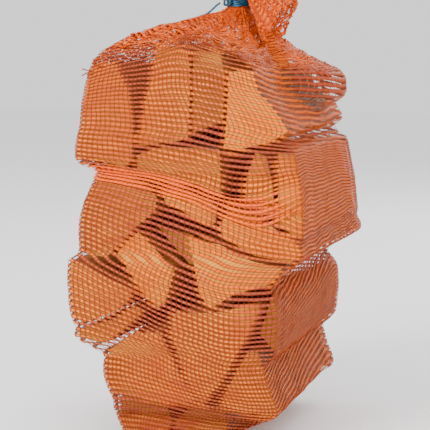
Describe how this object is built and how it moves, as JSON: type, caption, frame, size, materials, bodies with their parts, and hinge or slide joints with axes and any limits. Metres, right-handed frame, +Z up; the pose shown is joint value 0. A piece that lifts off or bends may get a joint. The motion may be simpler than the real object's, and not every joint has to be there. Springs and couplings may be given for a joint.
{
  "type": "net sack of beech firewood",
  "caption": "Upright orange woven-net sack of split beech logs, gathered and tied with blue twine at the neck, resting on a flat base",
  "frame": {"origin": "On the floor, under the middle of the sack's box", "axes": "+Z up towards the tied neck, logs lie along Y with their sawn ends at -Y and +Y, +X to the right seen from the front"},
  "size_m": [0.2668, 0.2656, 0.4977],
  "materials": {
    "net": "glossy woven plastic tape net, bright orange, open between the tapes",
    "beech": "freshly split beech with fibrous faces, sawn ends with fine rings and smooth grey bark",
    "twine": "blue plastic twine, twisted, slightly shiny"
  },
  "bodies": {
    "root": {"net_sack": "net", "log_top_left": "beech", "log_top_middle": "beech", "log_top_centre": "beech", "log_top_right": "beech", "log_upper_middle": "beech", "log_upper_right": "beech", "log_right": "beech", "log_middle_right": "beech", "log_centre_large": "beech", "log_centre_back": "beech", "log_left_upper": "beech", "log_centre_small": "beech", "log_middle_left": "beech", "log_left": "beech", "log_left_low": "beech", "log_low_left": "beech", "log_low_middle": "beech", "log_low_right": "beech", "log_right_low": "beech", "log_bottom_left": "beech", "log_bottom_right": "beech", "neck_tie": "twine", "twine_end": "twine"}
  },
  "joints": []
}
